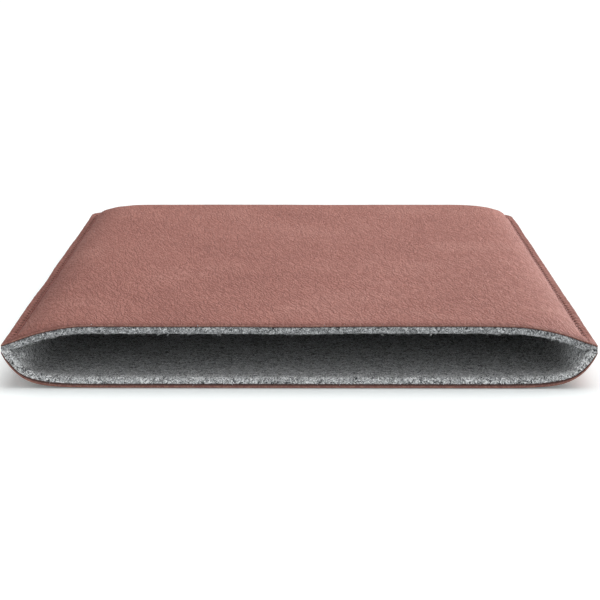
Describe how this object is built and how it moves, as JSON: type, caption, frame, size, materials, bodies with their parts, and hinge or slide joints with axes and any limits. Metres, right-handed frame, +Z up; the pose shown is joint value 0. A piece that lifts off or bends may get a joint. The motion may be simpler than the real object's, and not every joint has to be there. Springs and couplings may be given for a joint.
{
  "type": "laptop sleeve",
  "caption": "Open-ended leather laptop sleeve with a wool felt lining, sewn round three sides and lying flat, with its mouth at one short end.",
  "frame": {"origin": "centre of the footprint, on the surface that the sleeve lies on", "axes": "+Z up, +Y from the open mouth to the closed rear seam, +X to the right seen from the mouth"},
  "size_m": [0.27, 0.375, 0.03],
  "materials": {
    "leather": "satin",
    "felt": "matte",
    "thread": "satin"
  },
  "bodies": {
    "root": {"top_leather_panel": "leather", "bottom_leather_panel": "leather", "top_felt_liner": "felt", "bottom_felt_liner": "felt", "needle_thread": "thread", "bobbin_thread": "thread"}
  },
  "joints": []
}
